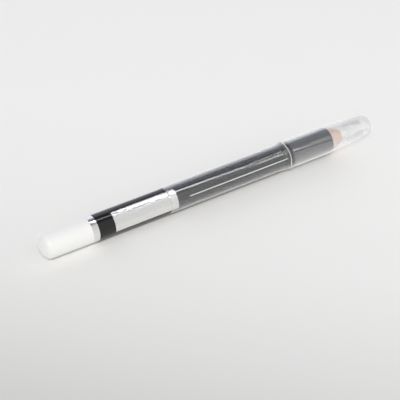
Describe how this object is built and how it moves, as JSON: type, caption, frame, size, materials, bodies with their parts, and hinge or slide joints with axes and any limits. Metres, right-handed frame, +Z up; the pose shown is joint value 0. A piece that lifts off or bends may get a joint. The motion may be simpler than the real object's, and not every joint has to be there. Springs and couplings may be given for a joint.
{
  "type": "kohl pencil",
  "caption": "Round wood-cased kohl pencil with a white dipped end, silver band, bare silver label, clear sleeve and a clear pull-off cap over its sharpened tip.",
  "frame": {"origin": "on the surface that the pencil lies on, under the middle of its length", "axes": "+X along the pencil from the white end to the capped tip, +Z up, -Y the side that the label faces"},
  "size_m": [0.119, 0.0092, 0.0092],
  "materials": {
    "kohl": "soft waxy white kohl, satin, with fine sharpening lines",
    "cedar": "bare sharpened cedar, matt, with fine grain along the pencil",
    "black_lacquer": "glossy black lacquer",
    "white_dip": "satin white dipped lacquer",
    "silver_foil": "bright hot-stamped silver foil, slightly uneven",
    "clear_plastic": "clear colourless glossy plastic",
    "clear_film": "clear thin shrunk film, glossy, slightly wavy"
  },
  "bodies": {
    "pencil": {"kohl_core": "kohl", "upper_slat": "cedar", "lower_slat": "cedar", "barrel_lacquer": "black_lacquer", "end_dip": "white_dip", "silver_band": "silver_foil", "silver_label": "silver_foil", "barrel_film": "clear_film"},
    "cap": {"cap": "clear_plastic", "cap_film": "clear_film"}
  },
  "joints": [
    {"name": "cap_pull", "type": "slide", "parent": "pencil", "child": "cap", "axis": [1, 0, 0], "range_m": [0, 0.035]}
  ]
}
